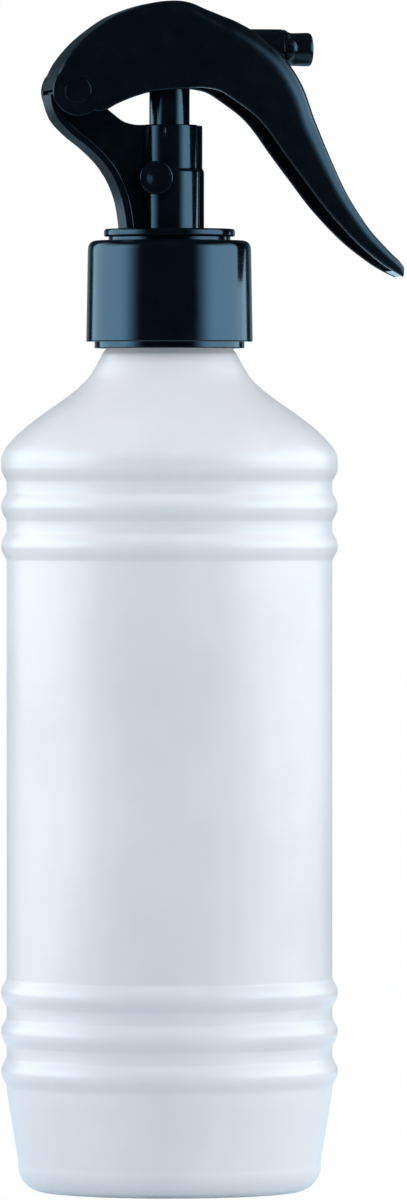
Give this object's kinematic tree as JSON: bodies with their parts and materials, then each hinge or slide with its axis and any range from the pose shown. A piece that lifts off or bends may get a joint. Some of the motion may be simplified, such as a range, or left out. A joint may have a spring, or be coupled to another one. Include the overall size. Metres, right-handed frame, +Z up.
{
  "type": "trigger spray bottle",
  "caption": "Ribbed white plastic bottle with a black trigger sprayer screwed on its neck, for spraying liquids by hand.",
  "frame": {"origin": "on the bottle's axis, at the plane that the bottle stands on", "axes": "+Z up along the bottle's axis, +X the way the nozzle points, +Y to the user's left hand when the nozzle points away"},
  "size_m": [0.0819, 0.0674, 0.2381],
  "materials": {
    "bottle_white": "satin white polyethylene, blow moulded",
    "closure_black": "glossy black polypropylene",
    "sprayer_black": "glossy black polypropylene",
    "lever_black": "glossy black polypropylene",
    "head_black": "glossy black polypropylene",
    "nozzle_black": "glossy black polypropylene",
    "pump_natural": "undyed polypropylene",
    "tube_natural": "undyed polyethylene tube",
    "gasket_foam": "white polyethylene foam",
    "spring_steel": "bright stainless wire",
    "ball_steel": "bright stainless ball"
  },
  "bodies": {
    "bottle": {"bottle": "bottle_white"},
    "sprayer": {"sprayer_body": "sprayer_black", "neck_gasket": "gasket_foam", "pump_housing": "pump_natural", "stem_collar": "pump_natural", "dip_tube": "tube_natural"},
    "closure": {"closure": "closure_black"},
    "lever": {"trigger_lever": "lever_black"},
    "plunger": {"actuator_head": "head_black", "swirl_insert": "pump_natural", "pump_stem": "pump_natural", "piston": "pump_natural", "valve_poppet": "pump_natural", "return_spring": "spring_steel"},
    "nozzle": {"nozzle_cap": "nozzle_black"},
    "ball": {"inlet_ball": "ball_steel"}
  },
  "joints": [
    {"name": "sprayer_lift", "type": "slide", "parent": "bottle", "child": "sprayer", "axis": [0, 0, 1], "range_m": [0, 0.19]},
    {"name": "closure_turn", "type": "hinge", "parent": "sprayer", "child": "closure", "pos_m": [0, 0, 0.18], "axis": [0, 0, 1], "range_deg": [0, 540]},
    {"name": "trigger_pull", "type": "hinge", "parent": "sprayer", "child": "lever", "pos_m": [-0.0198, 0, 0.2199], "axis": [0, 1, 0], "range_deg": [0, 16.5], "stiffness_Nm_per_rad": 0.25, "springref_deg": -14.32},
    {"name": "plunger_stroke", "type": "slide", "parent": "sprayer", "child": "plunger", "axis": [0, 0, -1], "range_m": [0, 0.00587], "deforming": ["return_spring"]},
    {"name": "nozzle_turn", "type": "hinge", "parent": "plunger", "child": "nozzle", "pos_m": [0.026, 0, 0.2285], "axis": [1, 0, 0], "range_deg": [0, 180]},
    {"name": "inlet_ball_lift", "type": "slide", "parent": "sprayer", "child": "ball", "axis": [0, 0, 1], "range_m": [0, 0.0008]}
  ],
  "couplings": [
    {"joint": "plunger_stroke", "follows": "trigger_pull", "m_per_rad": 0.02021}
  ]
}
